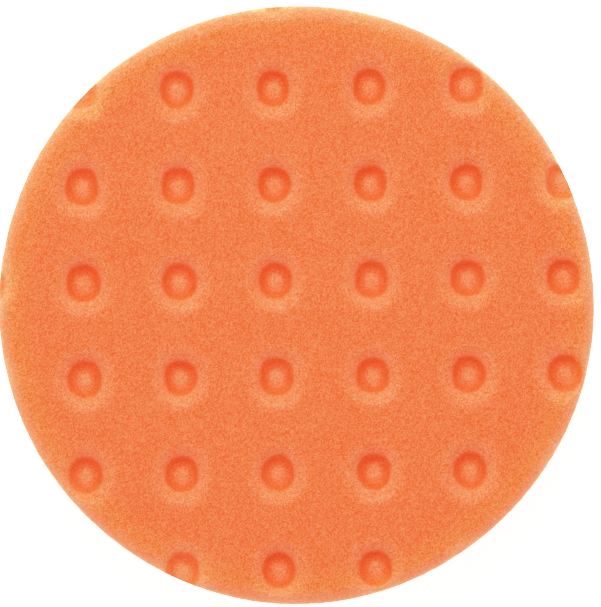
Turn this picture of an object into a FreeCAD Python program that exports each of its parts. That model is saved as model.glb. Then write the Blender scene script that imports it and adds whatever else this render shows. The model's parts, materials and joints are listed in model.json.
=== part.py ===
# A round foam polishing pad that lies on its loop-fabric back with its working face up.
#
# The origin is the middle of the pad, on the surface that it lies on, and +Z points out of
# the working face. Lengths are in millimetres and angles in degrees.
#
# From the bottom up: loop pile, knitted ground of the loop fabric, hot-melt bond film, foam.
# The foam was die-cut from a sheet that already had its square grid of heat-formed pockets,
# so the grid is neither centred on the pad nor square to it, and the rim cuts some pockets.
import FreeCAD, Part
import math
import os

# The whole pad
PAD_DIAMETER = 165.1
PAD_THICKNESS = 31.75
FACE_EDGE_RADIUS = 4.5
BACK_EDGE_RADIUS = 1.0

# The loop fabric, cut to the size of the backing plate, and the film that bonds it
BACK_DIAMETER = 152.4
PILE_HEIGHT = 1.5
GROUND_THICKNESS = 0.6
FILM_THICKNESS = 0.25

# The pocket grid
POCKET_PITCH = 26.6
GRID_TURN = 0.73
GRID_X = -5.8
GRID_Y = 6.6

# One pocket: a shallow dish, a steep wall below its throat, and a small flat floor
DISH_RADIUS = 9.2
DISH_DEPTH = 1.0
THROAT_RADIUS = 4.9
POCKET_DEPTH = 5.4
FLOOR_RADIUS = 3.1
THROAT_ROUNDING = 1.4
FLOOR_ROUNDING = 0.7
LEAST_BITE = 0.5

PAD_RADIUS = PAD_DIAMETER / 2
GROUND_BASE = PILE_HEIGHT
FILM_BASE = GROUND_BASE + GROUND_THICKNESS
FOAM_BASE = FILM_BASE + FILM_THICKNESS
ABOVE_FACE = 5.0

UP = FreeCAD.Vector(0, 0, 1)
ORIGIN = FreeCAD.Vector(0, 0, 0)


def unit_to(start, end):
    step = end - start
    return step * (1.0 / step.Length)


def rounded_wire(corners):
    """A closed wire in the XZ plane. corners holds (radius from the axis, height, rounding)."""
    points = [FreeCAD.Vector(x, 0, z) for x, z, rounding in corners]
    edges = []
    ends = []
    for k, (x, z, rounding) in enumerate(corners):
        corner = points[k]
        if rounding == 0:
            ends.append((corner, corner))
            continue
        back = unit_to(corner, points[k - 1])
        ahead = unit_to(corner, points[(k + 1) % len(points)])
        half_angle = back.getAngle(ahead) / 2
        reach = rounding / math.tan(half_angle)
        centre = corner + unit_to(ORIGIN, back + ahead) * (rounding / math.sin(half_angle))
        middle = centre + unit_to(centre, corner) * rounding
        start = corner + back * reach
        end = corner + ahead * reach
        edges.append(Part.Arc(start, middle, end).toShape())
        ends.append((start, end))
    for k in range(len(ends)):
        line_start = ends[k][1]
        line_end = ends[(k + 1) % len(ends)][0]
        edges.append(Part.LineSegment(line_start, line_end).toShape())
    return Part.Wire(Part.sortEdges(edges)[0])


def turned(corners):
    """The solid swept by a rounded outline turned about the Z axis."""
    return Part.Face(rounded_wire(corners)).revolve(ORIGIN, UP, 360)


def disc(diameter, base, thickness):
    return Part.makeCylinder(diameter / 2, thickness, FreeCAD.Vector(0, 0, base))


def pocket_centres():
    """The grid points whose pocket is inside the pad or is cut by its rim."""
    turn = math.radians(GRID_TURN)
    across = FreeCAD.Vector(math.cos(turn), math.sin(turn), 0) * POCKET_PITCH
    along = FreeCAD.Vector(-math.sin(turn), math.cos(turn), 0) * POCKET_PITCH
    steps = range(-math.ceil(PAD_DIAMETER / POCKET_PITCH), math.ceil(PAD_DIAMETER / POCKET_PITCH) + 1)
    centres = []
    for column in steps:
        for row in steps:
            centre = FreeCAD.Vector(GRID_X, GRID_Y, 0) + across * column + along * row
            if centre.Length < PAD_RADIUS + THROAT_RADIUS - LEAST_BITE:
                centres.append(centre)
    return centres


def pocket_tool():
    """The space of one pocket, with its axis on Z, reaching from its floor to above the face."""
    floor = PAD_THICKNESS - POCKET_DEPTH
    slope = DISH_DEPTH / (DISH_RADIUS - THROAT_RADIUS)
    brim_radius = DISH_RADIUS + ABOVE_FACE / slope
    return turned([
        (0, floor, 0),
        (FLOOR_RADIUS, floor, FLOOR_ROUNDING),
        (THROAT_RADIUS, PAD_THICKNESS - DISH_DEPTH, THROAT_ROUNDING),
        (brim_radius, PAD_THICKNESS + ABOVE_FACE, 0),
        (0, PAD_THICKNESS + ABOVE_FACE, 0),
    ])


def make_foam_body():
    """The foam disc, rounded where the working face meets the side, with its pockets."""
    blank = turned([
        (0, FOAM_BASE, 0),
        (PAD_RADIUS, FOAM_BASE, BACK_EDGE_RADIUS),
        (PAD_RADIUS, PAD_THICKNESS, FACE_EDGE_RADIUS),
        (0, PAD_THICKNESS, 0),
    ])
    tool = pocket_tool()
    tools = []
    for centre in pocket_centres():
        pocket = tool.copy()
        pocket.translate(centre)
        tools.append(pocket)
    foam = blank.cut(tools)
    return foam.Solids[0]


def make_bond_film():
    """The hot-melt film between the foam and the fabric."""
    return disc(BACK_DIAMETER, FILM_BASE, FILM_THICKNESS)


def make_loop_ground():
    """The knitted ground of the loop fabric, which holds the loops."""
    return disc(BACK_DIAMETER, GROUND_BASE, GROUND_THICKNESS)


def make_loop_pile():
    """The layer of loops that a hook-faced backing plate grips, as one closed solid."""
    return disc(BACK_DIAMETER, 0, PILE_HEIGHT)


def main():
    os.makedirs("parts", exist_ok=True)
    nodes = {
        "foam_body": make_foam_body(),
        "bond_film": make_bond_film(),
        "loop_ground": make_loop_ground(),
        "loop_pile": make_loop_pile(),
    }
    for name, shape in nodes.items():
        shape.exportStep(os.path.join("parts", name + ".step"))
        box = shape.BoundBox
        print(f"{name}: {shape.Volume / 1000:.2f} cm3, {box.XLength:.2f} x {box.YLength:.2f} x {box.ZLength:.2f}")


main()
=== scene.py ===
import json
import math
import random

import bpy
import numpy as np
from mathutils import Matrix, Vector
from mathutils.geometry import delaunay_2d_cdt


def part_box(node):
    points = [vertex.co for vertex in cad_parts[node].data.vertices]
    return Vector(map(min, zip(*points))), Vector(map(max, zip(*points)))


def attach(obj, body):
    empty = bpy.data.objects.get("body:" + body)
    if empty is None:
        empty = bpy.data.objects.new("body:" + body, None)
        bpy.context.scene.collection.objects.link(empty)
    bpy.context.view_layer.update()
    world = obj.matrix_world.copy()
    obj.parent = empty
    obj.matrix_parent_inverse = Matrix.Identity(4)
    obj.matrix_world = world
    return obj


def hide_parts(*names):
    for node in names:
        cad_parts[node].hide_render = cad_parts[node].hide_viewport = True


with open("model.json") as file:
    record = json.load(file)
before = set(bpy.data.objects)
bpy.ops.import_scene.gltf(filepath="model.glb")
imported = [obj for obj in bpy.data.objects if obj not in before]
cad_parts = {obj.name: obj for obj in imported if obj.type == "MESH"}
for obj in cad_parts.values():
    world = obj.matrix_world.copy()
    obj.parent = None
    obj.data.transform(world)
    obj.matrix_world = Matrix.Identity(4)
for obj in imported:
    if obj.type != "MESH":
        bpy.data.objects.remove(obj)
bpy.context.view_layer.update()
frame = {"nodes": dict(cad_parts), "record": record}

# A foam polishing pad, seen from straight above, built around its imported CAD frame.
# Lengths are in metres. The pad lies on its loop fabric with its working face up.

MM = 0.001

# The frame's own sizes
FOAM_LOW, FOAM_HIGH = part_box("foam_body")
PILE_LOW, PILE_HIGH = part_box("loop_pile")
GROUND_LOW, GROUND_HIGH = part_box("loop_ground")
RADIUS = (FOAM_HIGH.x - FOAM_LOW.x) / 2
FACE = FOAM_HIGH.z
BACK = FOAM_LOW.z
FABRIC_RADIUS = (PILE_HIGH.x - PILE_LOW.x) / 2

# The foam's edges and sides
FACE_EDGE = 4.5 * MM
BACK_EDGE = 1.0 * MM
WAIST = 0.6 * MM
UNEVEN = 0.03 * MM
EDGE_BLEND = 0.5 * MM

# The cut outline's departures from a circle, as (waves round the rim, height, start in radians)
OUTLINE_GROWTH = 0.12 * MM
OUTLINE_WAVES = (
    (2, -0.235 * MM, 0.25 + math.pi / 2),
    (3, 0.06 * MM, -0.3),
    (4, -0.06 * MM, 0.0),
    (5, -0.14 * MM, -0.37),
)

# One pocket: a small floor, a wall that steepens upwards, and a wide soft dish
FLOOR_RADIUS = 1.0 * MM
THROAT_RADIUS = 5.0 * MM
WALL_BEND = 2.0
POCKET_DEPTH = 4.85 * MM
DISH_DEPTH = 3.7 * MM
DISH_REACH = 6.3 * MM
FLOOR_CROWN = 0.12 * MM
POCKET_STRETCH = 0.042
POCKET_SQUARENESS = 0.018

# How the pockets differ from each other
POCKET_SCALES = (0.96, 1.02)
STRETCH_CHANCE = (-0.02, 0.02)
SQUARE_CHANCE = (-0.015, 0.02)
SKEW_CHANCE = (0.0, 0.025)
DEPTH_SCALES = (0.96, 1.04)

# How far the pockets' grid is followed from its middle one, and how far a pocket's own shape counts
GRID_STEPS = 4
GRID_MARGIN = 3 * THROAT_RADIUS
POCKET_END = 4 * THROAT_RADIUS

# The mesh of the foam
RING_POINTS = 44
FLOOR_RINGS = ((0.45 * FLOOR_RADIUS, RING_POINTS // 4), (0.8 * FLOOR_RADIUS, RING_POINTS // 2))
WALL_RINGS = 13
WALL_RING_SPAN = (1.1 * FLOOR_RADIUS, 1.03 * THROAT_RADIUS)
DISH_RINGS = (0.55 * MM, 1.05 * MM, 1.6 * MM, 2.3 * MM, 3.1 * MM, 4.0 * MM, 5.0 * MM)
RINGS_END = THROAT_RADIUS + 5.6 * MM
WALL_END = 1.04 * THROAT_RADIUS
FACE_SPACING = 1.3 * MM
FACE_JITTER = 0.15
RIM_SPACING = 0.66 * MM
EDGE_RINGS = 13
EDGE_START = RADIUS - FACE_EDGE - 0.3 * MM
EDGE_CLEARANCE = 0.3 * MM
RIM_CLEARANCE = 0.03 * MM
CUT_REACH = 1.3 * THROAT_RADIUS
WALL_ROWS = 22
BACK_TURNS = (30, 60, 90)
BACK_RINGS = (0.97, 0.94, 0.905, 0.6, 0.3)
FAR_FROM_POCKETS = 20 * MM

# The foam's colours, and how much of each its region takes. The pocket walls' and the side's deeper orange
# are painted shade, the rim's paler colour is a painted sheen, and the pocket floors' and shoulders' paler
# colours are partly the formed foam's own and partly a painted highlight and sheen.
FOAM_COLOUR = (0.880, 0.206, 0.050, 1.0)
FOAM_WALL_SHADE = (0.87, 0.177, 0.026, 1.0)
FOAM_FLOOR_PALE_AND_HIGHLIGHT = (0.93, 0.38, 0.145, 1.0)
FOAM_SHOULDER_PALE_AND_SHEEN = (0.97, 0.38, 0.146, 1.0)
FOAM_WARM = (0.92, 0.39, 0.050, 1.0)
FOAM_RIM_SHEEN = (0.97, 0.45, 0.255, 1.0)
FOAM_SIDE_SHADE = (0.86, 0.165, 0.036, 1.0)
WALL_SHADE_SHARE = 0.72
WALL_SHADE_LOSS_AT_RIM = 0.8
FLOOR_PALE_AND_HIGHLIGHT_SHARE = 0.60
SHOULDER_PALE_AND_SHEEN_SHARE = 0.56
WARM_SHARE = 0.19
RIM_SHEEN_SHARE = 0.27
SIDE_SHADE_SHARE = 0.6

# Where the regions fade from none to full, by the distance from the nearest pocket's centre
WALL_SHADE_BEGINS = (2.0 * MM, 4.2 * MM)
WALL_SHADE_ENDS = (5.3 * MM, 4.4 * MM)
FLOOR_PALE_AND_HIGHLIGHT_ENDS = (2.6 * MM, 1.0 * MM)
POCKET_FLOOR_SHEEN_ENDS = (3.4 * MM, 2.0 * MM)
SHOULDER_BEGINS = (4.5 * MM, 5.7 * MM)
SHOULDER_ENDS = (10.6 * MM, 4.8 * MM)
OUTSIDE_BEGINS = (4.4 * MM, 5.8 * MM)
FORMED_ENDS = (7.2 * MM, 5.0 * MM)

# Where they fade by the distance from the pad's axis, and by the height
WARM_BEGINS = (RADIUS - 11.0 * MM, RADIUS - 3.0 * MM)
CUT_BEGINS = (RADIUS - 6.0 * MM, RADIUS - 2.0 * MM)
RIM_SHEEN_BEGINS = (RADIUS - 4.8 * MM, RADIUS - 0.5 * MM)
RIM_SHEEN_HEIGHTS = (FACE - 10.0 * MM, FACE - 3.0 * MM)
SIDE_SHADE_HEIGHTS = (FACE - 3.0 * MM, FACE - 9.0 * MM)

# The foam's grain: single cells, small clumps of them and wide faint clouds
FOAM_CELL = 0.24 * MM
FOAM_CLUMP = 0.8 * MM
FOAM_CLOUD = 7.0 * MM
CELL_STRENGTH = 0.8
CLUMP_STRENGTH = 0.5
CLOUD_STRENGTH = 0.15
GRAIN_MIDDLE = 1.125
GRAIN_DARK = (0.92, 0.58, 0.0, 1.0)
GRAIN_LIGHT = (1.07, 1.42, 2.5, 1.0)
CALM_FORMED = 0.18
CALM_WALL = 0.13
CALM_RIM = 0.4
CELL_RELIEF = 0.06 * MM
CELL_BUMP = 0.15
FOAM_ROUGHNESS = 0.46
FOAM_SPECULAR = 0.22

# The loop fabric
GROUND_POINTS = 480
GROUND_WAVES = ((11, 0.10 * MM, 0.5), (29, 0.07 * MM, 0.0))
GROUND_RINGS = (0.35, 0.7, 0.97)
GROUND_EDGE = 0.999
GROUND_ROUNDING = 0.1 * MM
LOOP_PITCH = 2.0 * MM
LOOP_STRAY = 0.4 * MM
LOOP_INSET = 2.2 * MM
EDGE_LOOP_INSETS = (0.5 * MM, 1.5 * MM)
EDGE_LOOP_STEP = 0.75 * MM
YARN_THICKNESS = (0.10 * MM, 0.15 * MM)
LOOP_WIDTH = (0.8 * MM, 1.2 * MM)
LOOP_HEIGHT = (0.82, 0.97)
LOOP_LEAN = 0.35 * MM
EDGE_LOOP_TURN = 0.5
LOOP_SIDES = 3
LOOP_STEPS = (0.0, 0.2, 0.4, 0.6, 0.8, 1.0)
LOOP_ROUNDNESS = 0.6
LOOP_ROOT = 0.1 * MM
KNIT_WALE = 5.0 * MM
KNIT_FUZZ = 0.35 * MM
KNIT_RELIEF = 0.1 * MM
KNIT_LIGHT = (0.74, 0.73, 0.70, 1.0)
KNIT_DARK = (0.55, 0.54, 0.51, 1.0)
YARN_LIGHT = (0.82, 0.81, 0.78, 1.0)
YARN_DARK = (0.66, 0.65, 0.62, 1.0)
FABRIC_ROUGHNESS = 0.9
FABRIC_SHEEN = 0.4

# The bond film
FILM_CLOUD = 2.5 * MM
FILM_LIGHT = (0.82, 0.76, 0.64, 1.0)
FILM_DARK = (0.70, 0.60, 0.45, 1.0)
FILM_ROUGHNESS = 0.35

# The camera looks straight down from far off, a little aside of the middle
VIEW_HEIGHT = 1.0177 * 2 * RADIUS
CAMERA_HEIGHT = 5.0
CAMERA_ASIDE = Vector((1.13 * MM, 0.29 * MM))

# The roll-off of the camera's highlights, as points of (light, shown)
TONE_POINTS = ((0.3, 0.24), (0.58, 0.53), (0.79, 0.81), (1.1, 0.881), (1.4, 0.935))
TONE_WHITE = 1.75

# The light and the floor
KEY_POWER = 39.0
KEY_SIZE = 1.3
KEY_DISTANCE = 2.2
KEY_TILT = math.radians(34.5)
KEY_TURN = math.radians(100)
SKY_OVERHEAD = 0.55
SKY_HORIZON = 1.2
SKY_RISE = 0.6
SKY_LEAN = (0.0, -0.29)
FLOOR_GREY = (0.62, 0.62, 0.62, 1.0)
FLOOR_ROUGHNESS = 0.9
FLOOR_GLOW = 1.35
FLOOR_HALF = 15.0
FLOOR_GAP = 0.05 * MM
WHITE = (1.0, 1.0, 1.0, 1.0)


# ---------------------------------------------------------------- helpers

def new_object(name, points, faces, smooth=False):
    mesh = bpy.data.meshes.new(name)
    mesh.from_pydata([tuple(p) for p in points], [], [tuple(f) for f in faces])
    mesh.polygons.foreach_set("use_smooth", [smooth] * len(mesh.polygons))
    mesh.update()
    made = bpy.data.objects.new(name, mesh)
    bpy.context.scene.collection.objects.link(made)
    return made


def new_material(name):
    material = bpy.data.materials.new(name)
    material.use_nodes = True
    return material, material.node_tree.nodes["Principled BSDF"]


class Nodes:
    """Short calls that add nodes to a material or a world and join them."""

    def __init__(self, owner):
        self.tree = owner.node_tree

    def add(self, kind, settings=(), **inputs):
        node = self.tree.nodes.new(kind)
        for name, value in dict(settings).items():
            setattr(node, name, value)
        for name, value in inputs.items():
            self.set(node.inputs[name.replace("_", " ")], value)
        return node

    def set(self, socket, value):
        if isinstance(value, bpy.types.NodeSocket):
            self.tree.links.new(value, socket)
        else:
            socket.default_value = value

    def math(self, operation, first, second=0.0, third=None, clamp=False):
        node = self.tree.nodes.new("ShaderNodeMath")
        node.operation = operation
        node.use_clamp = clamp
        self.set(node.inputs[0], first)
        self.set(node.inputs[1], second)
        if third is not None:
            self.set(node.inputs[2], third)
        return node.outputs[0]

    def both(self, first, second):
        return self.math("MULTIPLY", first, second)

    def less(self, value, mask, loss):
        """The value, less a share where the mask is full."""
        return self.math("MULTIPLY_ADD", mask, -loss, value)

    def vector(self, operation, first, second=(0.0, 0.0, 0.0)):
        node = self.tree.nodes.new("ShaderNodeVectorMath")
        node.operation = operation
        self.set(node.inputs[0], first)
        node.inputs[1].default_value = second
        return node

    def mix(self, share, first, second, blend="MIX"):
        node = self.tree.nodes.new("ShaderNodeMix")
        node.data_type = "RGBA"
        node.blend_type = blend
        self.set(node.inputs["Factor"], share)
        self.set(node.inputs["A"], first)
        self.set(node.inputs["B"], second)
        return node.outputs["Result"]

    def fade(self, value, none, full):
        """0 at none, 1 at full, smooth between; none may be the larger one."""
        node = self.tree.nodes.new("ShaderNodeMapRange")
        node.interpolation_type = "SMOOTHSTEP"
        self.set(node.inputs["Value"], value)
        node.inputs["From Min"].default_value = none
        node.inputs["From Max"].default_value = full
        return node.outputs["Result"]


class Waves:
    """Smooth unevenness made of plane waves, the same each run."""

    def __init__(self, seed, shortest, longest, count=14):
        chance = random.Random(seed)
        self.waves = []
        for _ in range(count):
            length = chance.uniform(shortest, longest)
            heading = [chance.gauss(0, 1) for _ in range(3)]
            size = math.sqrt(sum(h * h for h in heading))
            pull = [2 * math.pi * h / size / length for h in heading]
            self.waves.append((pull, chance.uniform(0, 2 * math.pi)))

    def __call__(self, x, y, z):
        total = 0.0
        for (a, b, c), phase in self.waves:
            total = total + np.sin(a * x + b * y + c * z + phase)
        return total / math.sqrt(len(self.waves) / 2)


LIFT_WAVES = Waves(3, 5 * MM, 22 * MM)
SIDE_WAVES = Waves(5, 3 * MM, 14 * MM)


def smooth_step(t):
    t = np.clip(t, 0.0, 1.0)
    return t * t * (3.0 - 2.0 * t)


def smooth_max(a, b, blend):
    """The larger of a and b, rounded where they are within blend of each other."""
    mix = np.clip(0.5 + (a - b) / (2 * blend), 0.0, 1.0)
    return b + (a - b) * mix + blend * mix * (1.0 - mix)


def around(far, angles):
    """Points at a distance, or distances, from the origin in each direction."""
    return np.column_stack([far * np.cos(angles), far * np.sin(angles)])


# ---------------------------------------------------------------- camera, light and floor

def make_camera():
    data = bpy.data.cameras.new("camera")
    data.sensor_width = 36.0
    data.lens = data.sensor_width * CAMERA_HEIGHT / VIEW_HEIGHT
    camera = bpy.data.objects.new("camera", data)
    camera.location = (CAMERA_ASIDE.x, CAMERA_ASIDE.y, FACE + CAMERA_HEIGHT)
    bpy.context.scene.collection.objects.link(camera)
    bpy.context.scene.camera = camera


def set_tones():
    """A camera's soft roll-off of the highlights."""
    view = bpy.context.scene.view_settings
    view.view_transform = "Standard"
    view.use_curve_mapping = True
    view.curve_mapping.use_clip = False
    curve = view.curve_mapping.curves[3]
    curve.points[1].location = (TONE_WHITE, 1.0)
    for light, shown in TONE_POINTS:
        curve.points.new(light, shown)
    view.curve_mapping.update()


def make_light():
    """One large soft light, well up and towards the pad's +Y side."""
    data = bpy.data.lights.new("softbox", "AREA")
    data.shape = "DISK"
    data.size = KEY_SIZE
    data.energy = KEY_POWER
    away = Vector((math.sin(KEY_TILT) * math.cos(KEY_TURN),
                   math.sin(KEY_TILT) * math.sin(KEY_TURN),
                   math.cos(KEY_TILT)))
    light = bpy.data.objects.new("softbox", data)
    light.location = away * KEY_DISTANCE
    light.rotation_euler = away.to_track_quat("Z", "Y").to_euler()
    light.visible_camera = False
    bpy.context.scene.collection.objects.link(light)


def make_sky():
    """White surroundings, brighter at the horizon than overhead and on the side that the light isn't on."""
    world = bpy.data.worlds.new("studio")
    bpy.context.scene.world = world
    world.use_nodes = True
    n = Nodes(world)
    way = n.add("ShaderNodeTexCoord").outputs["Generated"]
    rise = n.add("ShaderNodeSeparateXYZ", Vector=way).outputs["Z"]
    strength = n.add("ShaderNodeMapRange", Value=rise, From_Min=0.0, From_Max=SKY_RISE,
                     To_Min=SKY_HORIZON, To_Max=SKY_OVERHEAD).outputs["Result"]
    lean = n.vector("DOT_PRODUCT", way, (*SKY_LEAN, 0.0)).outputs["Value"]
    background = world.node_tree.nodes["Background"]
    background.inputs["Color"].default_value = WHITE
    n.set(background.inputs["Strength"], n.both(strength, n.math("ADD", lean, 1.0)))


def make_floor():
    """A wide white floor that glows a little, as a light table does."""
    half = FLOOR_HALF
    depth = PILE_LOW.z - FLOOR_GAP
    corners = [(-half, -half, depth), (half, -half, depth), (half, half, depth), (-half, half, depth)]
    floor = new_object("floor", corners, [(0, 1, 2, 3)])
    material, shader = new_material("floor_white")
    shader.inputs["Base Color"].default_value = FLOOR_GREY
    shader.inputs["Roughness"].default_value = FLOOR_ROUGHNESS
    shader.inputs["Specular IOR Level"].default_value = 0.0
    shader.inputs["Emission Color"].default_value = WHITE
    shader.inputs["Emission Strength"].default_value = FLOOR_GLOW
    floor.data.materials.append(material)


# ---------------------------------------------------------------- the shape of a pocket

def pocket_grid():
    """(origin, across, along) of the pockets' grid, from the pockets that the record states."""
    boxes = [np.array(o["box_m"], float) for o in frame["record"]["physics"]["openings"]]
    centres = [box.mean(0)[:2] for box in boxes]
    origin = min(centres, key=np.linalg.norm)
    steps = [c - origin for c in centres]
    to_right = [s for s in steps if s[0] > abs(s[1])]
    across = min(to_right, key=np.linalg.norm)
    along = np.array([-across[1], across[0]])
    return origin, across, along


def make_pockets():
    """One dict per grid point near the pad, with its place and the chances of its own forming."""
    origin, across, along = pocket_grid()
    chance = random.Random(7)
    pockets = []
    for row in range(-GRID_STEPS, GRID_STEPS + 1):
        for column in range(-GRID_STEPS, GRID_STEPS + 1):
            pocket = {
                "centre": origin + across * column + along * row,
                "scale": chance.uniform(*POCKET_SCALES),
                "stretch": POCKET_STRETCH + chance.uniform(*STRETCH_CHANCE),
                "square": POCKET_SQUARENESS + chance.uniform(*SQUARE_CHANCE),
                "lean": chance.uniform(0, 2 * math.pi),
                "skew": chance.uniform(*SKEW_CHANCE),
                "deep": chance.uniform(*DEPTH_SCALES),
            }
            if np.hypot(*pocket["centre"]) < RADIUS + GRID_MARGIN:
                pockets.append(pocket)
    return pockets


def pocket_reach(pocket, angle, away):
    """How wide the pocket is in a direction, as a share of a round one's radius.

    The floor is round, and the pocket grows taller and squarer up its wall.
    """
    stretch = -pocket["stretch"] * np.cos(2 * angle)
    square = -pocket["square"] * np.cos(4 * angle)
    skew = pocket["skew"] * np.cos(3 * (angle - pocket["lean"]))
    up_the_wall = smooth_step(away / THROAT_RADIUS)
    return pocket["scale"] * (1.0 + (stretch + square + skew) * up_the_wall)


def pocket_away(pocket, x, y):
    """The distance from the pocket's centre, as if the pocket were round."""
    dx = x - pocket["centre"][0]
    dy = y - pocket["centre"][1]
    far = np.hypot(dx, dy)
    return far / pocket_reach(pocket, np.arctan2(dy, dx), far)


def nearest_pocket(pockets, x, y):
    """The distance from the nearest pocket's centre, as if that pocket were round."""
    return np.min([pocket_away(p, x, y) for p in pockets], axis=0)


def pocket_drop(pocket, away):
    """How far the pocket's surface lies under the working face."""
    dish = DISH_DEPTH * np.exp(-(away / DISH_REACH) ** 4)
    climb = np.clip((away - FLOOR_RADIUS) / (THROAT_RADIUS - FLOOR_RADIUS), 0.0, 1.0)
    hole = (POCKET_DEPTH * pocket["deep"] - DISH_DEPTH) * (1.0 - smooth_step(climb ** WALL_BEND))
    crown = FLOOR_CROWN * (1.0 - smooth_step(away / FLOOR_RADIUS))
    return dish + hole - crown


# ---------------------------------------------------------------- the shape of the foam

def edge_drop(r):
    """How far the rounded edge lies under the face at a distance from the axis."""
    into = np.clip(r - (RADIUS - FACE_EDGE), 0.0, FACE_EDGE)
    return FACE_EDGE - np.sqrt(FACE_EDGE ** 2 - into ** 2)


def foam_surface(pockets, x, y):
    """The height of the working face, its rounded edge and its pockets."""
    drop = np.zeros_like(x)
    for pocket in pockets:
        away = pocket_away(pocket, x, y)
        near = away < POCKET_END
        drop[near] = np.maximum(drop[near], pocket_drop(pocket, away[near]))
    blended = smooth_max(drop, edge_drop(np.hypot(x, y)), EDGE_BLEND)
    return FACE - (blended - EDGE_BLEND / 4)


def outline_offset(angle):
    """How far the cut edge strays from a true circle."""
    return OUTLINE_GROWTH + sum(height * np.sin(count * angle + start)
                                for count, height, start in OUTLINE_WAVES)


def shaped(x, y, z):
    """Points moved out to the pad's real outline, with the foam's slight unevenness."""
    angle = np.arctan2(y, x)
    r = np.hypot(x, y)
    spread = 1.0 + outline_offset(angle) * (r / RADIUS) ** 3 / RADIUS
    push = UNEVEN * SIDE_WAVES(x, y, z) / RADIUS * smooth_step((r / RADIUS - 0.9) / 0.1)
    lift = UNEVEN * LIFT_WAVES(x, y, z)
    return x * (spread + push), y * (spread + push), z + lift


def unrolled(r):
    """The distance along the face and round its edge, for a distance from the axis."""
    flat = RADIUS - FACE_EDGE
    into = np.clip((r - flat) / FACE_EDGE, 0.0, 1.0)
    return np.where(r <= flat, r, flat + FACE_EDGE * np.arcsin(into))


def rolled(s):
    """The distance from the axis, for a distance along the face and round its edge."""
    flat = RADIUS - FACE_EDGE
    turn = np.clip((s - flat) / FACE_EDGE, 0.0, math.pi / 2)
    return np.where(s <= flat, s, flat + FACE_EDGE * np.sin(turn))


# ---------------------------------------------------------------- the points of the foam's mesh

def rim_angles(pockets):
    """Directions round the rim, closer together where the rim cuts a pocket."""
    cut = [p["centre"] for p in pockets if abs(np.hypot(*p["centre"]) - RADIUS) < THROAT_RADIUS]
    directions = [math.atan2(y, x) for x, y in cut]
    angles = []
    angle = 0.0
    while angle < 2 * math.pi:
        angles.append(angle)
        apart = [abs(math.remainder(angle - d, 2 * math.pi)) for d in directions]
        near = min(apart) * RADIUS < CUT_REACH
        angle += (0.5 if near else 1.0) * RIM_SPACING / RADIUS
    return np.array(angles[:-1])


def pocket_points(pocket):
    """Rings round a pocket: sparse on its floor, close on its wall, wider on its dish."""
    rings = list(FLOOR_RINGS)
    rings += [(away, RING_POINTS) for away in np.linspace(*WALL_RING_SPAN, WALL_RINGS)]
    rings += [(THROAT_RADIUS + past, RING_POINTS) for past in DISH_RINGS]
    points = [pocket["centre"]]
    for k, (away, count) in enumerate(rings):
        angle = 2 * np.pi * (np.arange(count) + 0.5 * (k % 2)) / count
        points.extend(around(away * pocket_reach(pocket, angle, away), angle) + pocket["centre"])
    return np.array(points)


def pocket_mesh_points(pocket):
    """A pocket's points as far as they lie on the pad, moved out where the edge is unrolled."""
    ring = pocket_points(pocket)
    r = np.hypot(ring[:, 0], ring[:, 1])
    away = pocket_away(pocket, ring[:, 0], ring[:, 1])
    on_wall = (away < WALL_END) & (r < RADIUS - RIM_CLEARANCE)
    on_dish = (away >= WALL_END) & (r < EDGE_START - EDGE_CLEARANCE)
    ring = ring[on_wall | on_dish]
    r = r[on_wall | on_dish]
    return ring * (unrolled(r) / np.maximum(r, 1e-9))[:, None]


def edge_points(pockets, angles, full):
    """Rings of points along the unrolled edge, clear of the pockets that it cuts."""
    bands = []
    for k, s in enumerate(np.linspace(EDGE_START, full, EDGE_RINGS, endpoint=False)):
        turned = angles + (0.5 * RIM_SPACING / RADIUS if k % 2 else 0.0)
        bands.append(around(s, turned))
    bands = np.vstack(bands)
    r = rolled(np.hypot(bands[:, 0], bands[:, 1]))
    turn = np.arctan2(bands[:, 1], bands[:, 0])
    away = nearest_pocket(pockets, r * np.cos(turn), r * np.sin(turn))
    return bands[away > THROAT_RADIUS + EDGE_CLEARANCE]


def face_points(pockets):
    """A jittered triangular grid over the face, between the pockets' rings."""
    chance = np.random.default_rng(11)
    step = FACE_SPACING
    rows = []
    for k, y in enumerate(np.arange(-RADIUS, RADIUS, step * math.sqrt(3) / 2)):
        x = np.arange(-RADIUS, RADIUS, step) + (step / 2 if k % 2 else 0.0)
        rows.append(np.column_stack([x, np.full(len(x), y)]))
    points = np.vstack(rows)
    points = points + chance.uniform(-FACE_JITTER, FACE_JITTER, points.shape) * step
    points = points[np.hypot(points[:, 0], points[:, 1]) < EDGE_START - 0.5 * step]
    return points[nearest_pocket(pockets, points[:, 0], points[:, 1]) > RINGS_END]


def flat_points(pockets, angles):
    """The unrolled working face's points, starting with the rim in order."""
    full = unrolled(np.array([RADIUS]))[0]
    rings = [pocket_mesh_points(pocket) for pocket in pockets]
    return np.vstack([around(full, angles), edge_points(pockets, angles, full), face_points(pockets), *rings])


def side_profile(top):
    """Rows of (distance from the axis, height) from the rim, down the side and across the back."""
    bottom = BACK + BACK_EDGE
    steps = np.linspace(0, 1, WALL_ROWS + 1)[1:]
    z = top[None, :] + (bottom - top[None, :]) * steps[:, None]
    fall = (FACE - FACE_EDGE - z) / (FACE - FACE_EDGE - bottom)
    r = RADIUS - WAIST * np.sin(np.pi * np.clip(fall, 0, 1))
    below = []
    for turn in np.radians(BACK_TURNS):
        below.append((RADIUS - BACK_EDGE * (1 - math.cos(turn)), bottom - BACK_EDGE * math.sin(turn)))
    below += [(RADIUS * share, BACK) for share in BACK_RINGS]
    r = np.vstack([r] + [np.full_like(top, out) for out, _ in below])
    z = np.vstack([z] + [np.full_like(top, height) for _, height in below])
    return r, z


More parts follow.
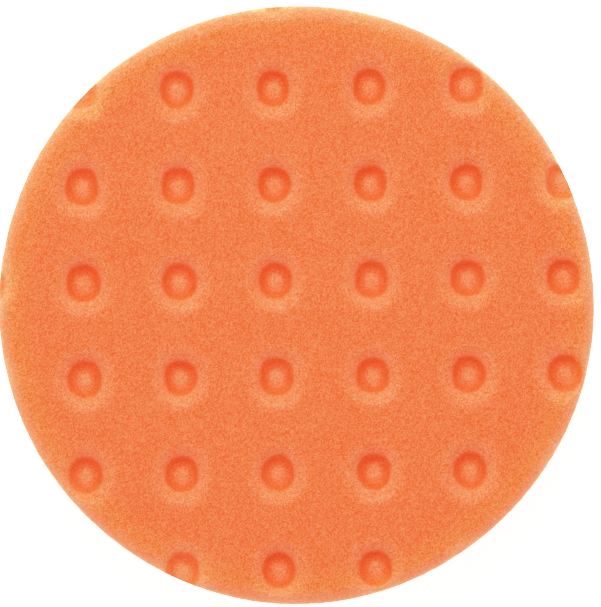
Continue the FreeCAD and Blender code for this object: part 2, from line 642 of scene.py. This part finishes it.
def side_faces(rim, first, rows, columns):
    """Quads from the rim down the side's rows, and a fan to the last point, at the middle of the back."""
    faces = []
    above = rim
    for row in range(rows):
        below = first + row * columns + np.arange(columns)
        for k in range(columns):
            ahead = (k + 1) % columns
            faces.append((above[k], below[k], below[ahead], above[ahead]))
        above = below
    centre = first + rows * columns
    for k in range(columns):
        faces.append((above[k], centre, above[(k + 1) % columns]))
    return faces


def make_foam_body():
    pockets = make_pockets()
    angles = rim_angles(pockets)
    points_2d = [Vector((x / MM, y / MM)) for x, y in flat_points(pockets, angles)]
    placed, _, triangles, sources, _, _ = delaunay_2d_cdt(points_2d, [], [], 0, 1e-6)
    made = np.array([tuple(p) for p in placed]) * MM
    turn = np.arctan2(made[:, 1], made[:, 0])
    r = rolled(np.hypot(made[:, 0], made[:, 1]))
    x = r * np.cos(turn)
    y = r * np.sin(turn)
    z = foam_surface(pockets, x, y)
    away = nearest_pocket(pockets, x, y)

    place_of = {source: k for k, found in enumerate(sources) for source in found}
    rim = np.array([place_of[k] for k in range(len(angles))])
    side_r, side_z = side_profile(z[rim])
    rows, columns = side_r.shape
    x = np.concatenate([x, (side_r * np.cos(angles)).ravel(), [0.0]])
    y = np.concatenate([y, (side_r * np.sin(angles)).ravel(), [0.0]])
    z = np.concatenate([z, side_z.ravel(), [BACK]])
    away = np.concatenate([away, np.full(rows * columns + 1, FAR_FROM_POCKETS)])
    faces = [tuple(t) for t in triangles] + side_faces(rim, len(made), rows, columns)

    foam = new_object("foam_pad", np.column_stack(shaped(x, y, z)), faces, smooth=True)
    distance = foam.data.attributes.new("pocket_away", "FLOAT", "POINT")
    distance.data.foreach_set("value", away.astype(np.float32))
    foam.data.materials.append(foam_material())
    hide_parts("foam_body")
    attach(foam, "root")


# ---------------------------------------------------------------- foam material

def foam_material():
    """Open-cell foam under a grain of single cells. Its colour regions: a warmer band near the die-cut edge,
    painted shade on the pocket walls and down the side, a painted sheen on the rim, and pocket floors and
    shoulders that are partly the heat-formed foam's own paler colour and partly painted highlight and sheen.
    """
    material, shader = new_material("orange_foam")
    n = Nodes(material)
    place = n.add("ShaderNodeTexCoord").outputs["Object"]
    away = n.add("ShaderNodeAttribute", {"attribute_name": "pocket_away"}).outputs["Fac"]
    height = n.add("ShaderNodeSeparateXYZ", Vector=place).outputs["Z"]
    flat_place = n.vector("MULTIPLY", place, (1.0, 1.0, 0.0)).outputs["Vector"]
    from_axis = n.vector("LENGTH", flat_place).outputs["Value"]

    cut = n.fade(from_axis, *CUT_BEGINS)
    # Painted shade: a deeper orange on the pocket walls, weaker where the rim cuts a pocket
    wall = n.both(n.fade(away, *WALL_SHADE_BEGINS), n.fade(away, *WALL_SHADE_ENDS))
    wall = n.both(wall, n.less(1.0, cut, WALL_SHADE_LOSS_AT_RIM))
    # The pocket floor: partly the melted foam's own paler colour, partly a painted highlight
    floor = n.fade(away, *FLOOR_PALE_AND_HIGHLIGHT_ENDS)
    # The shoulder round each pocket: partly the pressed foam's own paler colour, partly a painted sheen
    pale_and_sheen_shoulder = n.both(n.fade(away, *SHOULDER_BEGINS), n.fade(away, *SHOULDER_ENDS))
    outside = n.fade(away, *OUTSIDE_BEGINS)
    warm = n.both(n.math("MAXIMUM", outside, cut), n.fade(from_axis, *WARM_BEGINS))
    # Painted sheen: a paler rim near the face, reaching onto the floors of cut pockets but not their walls
    off_the_wall = n.math("MAXIMUM", outside, n.fade(away, *POCKET_FLOOR_SHEEN_ENDS))
    near_face = n.fade(height, *RIM_SHEEN_HEIGHTS)
    rim = n.both(n.both(off_the_wall, near_face), n.fade(from_axis, *RIM_SHEEN_BEGINS))
    # Painted shade: a deeper orange down the side
    side = n.fade(height, *SIDE_SHADE_HEIGHTS)

    colour = FOAM_COLOUR
    for mask, share, target in ((wall, WALL_SHADE_SHARE, FOAM_WALL_SHADE), (floor, FLOOR_PALE_AND_HIGHLIGHT_SHARE, FOAM_FLOOR_PALE_AND_HIGHLIGHT),
                                (pale_and_sheen_shoulder, SHOULDER_PALE_AND_SHEEN_SHARE, FOAM_SHOULDER_PALE_AND_SHEEN), (warm, WARM_SHARE, FOAM_WARM),
                                (rim, RIM_SHEEN_SHARE, FOAM_RIM_SHEEN), (side, SIDE_SHADE_SHARE, FOAM_SIDE_SHADE)):
        colour = n.mix(n.both(mask, share), colour, target)

    cells = n.add("ShaderNodeTexVoronoi", Vector=place, Scale=1 / FOAM_CELL)
    shades = n.add("ShaderNodeSeparateColor", Color=cells.outputs["Color"])
    cell = n.math("ADD", shades.outputs["Red"], shades.outputs["Green"])
    clumps = n.add("ShaderNodeTexNoise", Vector=place, Scale=1 / FOAM_CLUMP, Detail=2.0, Roughness=0.6)
    clouds = n.add("ShaderNodeTexNoise", Vector=place, Scale=1 / FOAM_CLOUD, Detail=1.0)
    grain = n.both(clouds.outputs["Fac"], CLOUD_STRENGTH)
    grain = n.math("MULTIPLY_ADD", clumps.outputs["Fac"], CLUMP_STRENGTH, grain)
    grain = n.math("MULTIPLY_ADD", cell, CELL_STRENGTH, grain)

    # Foam that was formed shows less of its cells, and the grain is also calmer on the pocket walls and under
    # the rim's painted sheen
    calm = n.less(1.0, n.fade(away, *FORMED_ENDS), CALM_FORMED)
    calm = n.less(calm, wall, CALM_WALL)
    calm = n.less(calm, rim, CALM_RIM)
    grain = n.math("MULTIPLY_ADD", n.math("SUBTRACT", grain, GRAIN_MIDDLE), calm, 0.5, clamp=True)
    colour = n.mix(1.0, colour, n.mix(grain, GRAIN_DARK, GRAIN_LIGHT), "MULTIPLY")

    n.set(shader.inputs["Base Color"], colour)
    shader.inputs["Roughness"].default_value = FOAM_ROUGHNESS
    shader.inputs["Specular IOR Level"].default_value = FOAM_SPECULAR
    bump = n.add("ShaderNodeBump", Strength=CELL_BUMP, Distance=CELL_RELIEF, Height=n.both(cell, calm))
    n.set(shader.inputs["Normal"], bump.outputs["Normal"])
    return material


# ---------------------------------------------------------------- loop fabric and film

def loop_fabric_material(name, light, dark):
    """Off-white nylon knit with a little fuzz."""
    material, shader = new_material(name)
    n = Nodes(material)
    place = n.add("ShaderNodeTexCoord").outputs["Object"]
    wales = n.add("ShaderNodeTexWave", {"bands_direction": "X"}, Vector=place, Scale=1 / KNIT_WALE,
                  Distortion=2.0)
    fuzz = n.add("ShaderNodeTexNoise", Vector=place, Scale=1 / KNIT_FUZZ, Detail=3.0)
    share = n.math("ADD", n.both(wales.outputs["Fac"], 0.5), n.both(fuzz.outputs["Fac"], 0.5))
    n.set(shader.inputs["Base Color"], n.mix(share, dark, light))
    shader.inputs["Roughness"].default_value = FABRIC_ROUGHNESS
    shader.inputs["Sheen Weight"].default_value = FABRIC_SHEEN
    bump = n.add("ShaderNodeBump", Strength=0.5, Distance=KNIT_RELIEF, Height=share)
    n.set(shader.inputs["Normal"], bump.outputs["Normal"])
    return material


def make_loop_ground():
    """The knitted ground: a thin disc of fabric with a slightly wavy cut edge."""
    count = GROUND_POINTS
    angles = 2 * np.pi * np.arange(count) / count
    edge = FABRIC_RADIUS + sum(height * np.sin(waves * angles + start)
                               for waves, height, start in GROUND_WAVES)
    top = GROUND_HIGH.z
    bottom = GROUND_LOW.z
    rings = [(share, top) for share in GROUND_RINGS]
    rings += [(GROUND_EDGE, top - GROUND_ROUNDING), (GROUND_EDGE, bottom + GROUND_ROUNDING)]
    rings += [(share, bottom) for share in reversed(GROUND_RINGS)]
    points = [(0.0, 0.0, top)]
    for share, z in rings:
        points.extend(np.column_stack([around(share * edge, angles), np.full(count, z)]))
    points.append((0.0, 0.0, bottom))
    last = 1 + (len(rings) - 1) * count
    faces = []
    for k in range(count):
        ahead = (k + 1) % count
        faces.append((0, 1 + k, 1 + ahead))
        for a in range(1, last, count):
            b = a + count
            faces.append((a + k, b + k, b + ahead, a + ahead))
        faces.append((last + k, len(points) - 1, last + ahead))
    ground = new_object("fabric_ground", points, faces, smooth=True)
    ground.data.materials.append(loop_fabric_material("knit_ground", KNIT_LIGHT, KNIT_DARK))
    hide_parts("loop_ground")
    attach(ground, "root")
    return ground


def loop_places(chance):
    """Where the loops stand, as (x, y, heading): rows of knit over the disc, and a denser edge."""
    places = []
    steps = int(FABRIC_RADIUS / LOOP_PITCH) + 1
    for row in range(-steps, steps + 1):
        for column in range(-steps, steps + 1):
            x = (column + 0.5 * (row % 2)) * LOOP_PITCH + chance.uniform(-LOOP_STRAY, LOOP_STRAY)
            y = row * LOOP_PITCH + chance.uniform(-LOOP_STRAY, LOOP_STRAY)
            if math.hypot(x, y) < FABRIC_RADIUS - LOOP_INSET:
                places.append((x, y, chance.uniform(0, math.pi)))
    for inset in EDGE_LOOP_INSETS:
        far = FABRIC_RADIUS - inset
        count = int(2 * math.pi * far / EDGE_LOOP_STEP)
        for k in range(count):
            angle = 2 * math.pi * (k + chance.uniform(0.0, 0.5)) / count
            heading = angle + math.pi / 2 + chance.uniform(-EDGE_LOOP_TURN, EDGE_LOOP_TURN)
            places.append((far * math.cos(angle), far * math.sin(angle), heading))
    return places


def loop_points(chance, x, y, heading):
    """One loop: an arch of yarn that hangs from the ground and leans its own way."""
    thick = chance.uniform(*YARN_THICKNESS)
    width = chance.uniform(*LOOP_WIDTH)
    tall = chance.uniform(*LOOP_HEIGHT) * (PILE_HIGH.z - PILE_LOW.z) - thick
    lean = chance.uniform(-LOOP_LEAN, LOOP_LEAN)
    along = Vector((math.cos(heading), math.sin(heading), 0.0))
    aside = Vector((-along.y, along.x, 0.0))
    drop = Vector((0.0, 0.0, -(tall + LOOP_ROOT)))
    root = Vector((x, y, PILE_HIGH.z + LOOP_ROOT))
    spine = []
    for t in LOOP_STEPS:
        arch = math.sin(math.pi * t) ** LOOP_ROUNDNESS if 0 < t < 1 else 0.0
        spine.append(root + along * width * (t - 0.5) + aside * lean * arch + drop * arch)
    points = []
    for k, at in enumerate(spine):
        ahead = spine[min(k + 1, len(spine) - 1)] - spine[max(k - 1, 0)]
        up = ahead.cross(aside).normalized()
        for side in range(LOOP_SIDES):
            turn = 2 * math.pi * side / LOOP_SIDES
            points.append(at + (aside * math.cos(turn) + up * math.sin(turn)) * thick)
    return points


def make_loop_pile():
    chance = random.Random(21)
    points = []
    faces = []
    for x, y, heading in loop_places(chance):
        first = len(points)
        points += loop_points(chance, x, y, heading)
        for k in range(len(LOOP_STEPS) - 1):
            for side in range(LOOP_SIDES):
                a = first + k * LOOP_SIDES + side
                b = first + k * LOOP_SIDES + (side + 1) % LOOP_SIDES
                faces.append((a, b, b + LOOP_SIDES, a + LOOP_SIDES))
    pile = new_object("loop_pile_yarn", points, faces, smooth=True)
    pile.data.materials.append(loop_fabric_material("loop_yarn", YARN_LIGHT, YARN_DARK))
    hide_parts("loop_pile")
    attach(pile, "root")
    return pile


def dress_bond_film():
    """The film keeps its CAD shape and gets the look of set hot-melt glue."""
    material, shader = new_material("hot_melt_film")
    n = Nodes(material)
    place = n.add("ShaderNodeTexCoord").outputs["Object"]
    cloud = n.add("ShaderNodeTexNoise", Vector=place, Scale=1 / FILM_CLOUD, Detail=2.0)
    n.set(shader.inputs["Base Color"], n.mix(cloud.outputs["Fac"], FILM_DARK, FILM_LIGHT))
    shader.inputs["Roughness"].default_value = FILM_ROUGHNESS
    film = frame["nodes"]["bond_film"]
    film.data.materials.clear()
    film.data.materials.append(material)


# ---------------------------------------------------------------- the scene

make_camera()
set_tones()
make_light()
make_sky()
make_floor()
make_foam_body()
ground = make_loop_ground()
pile = make_loop_pile()
dress_bond_film()
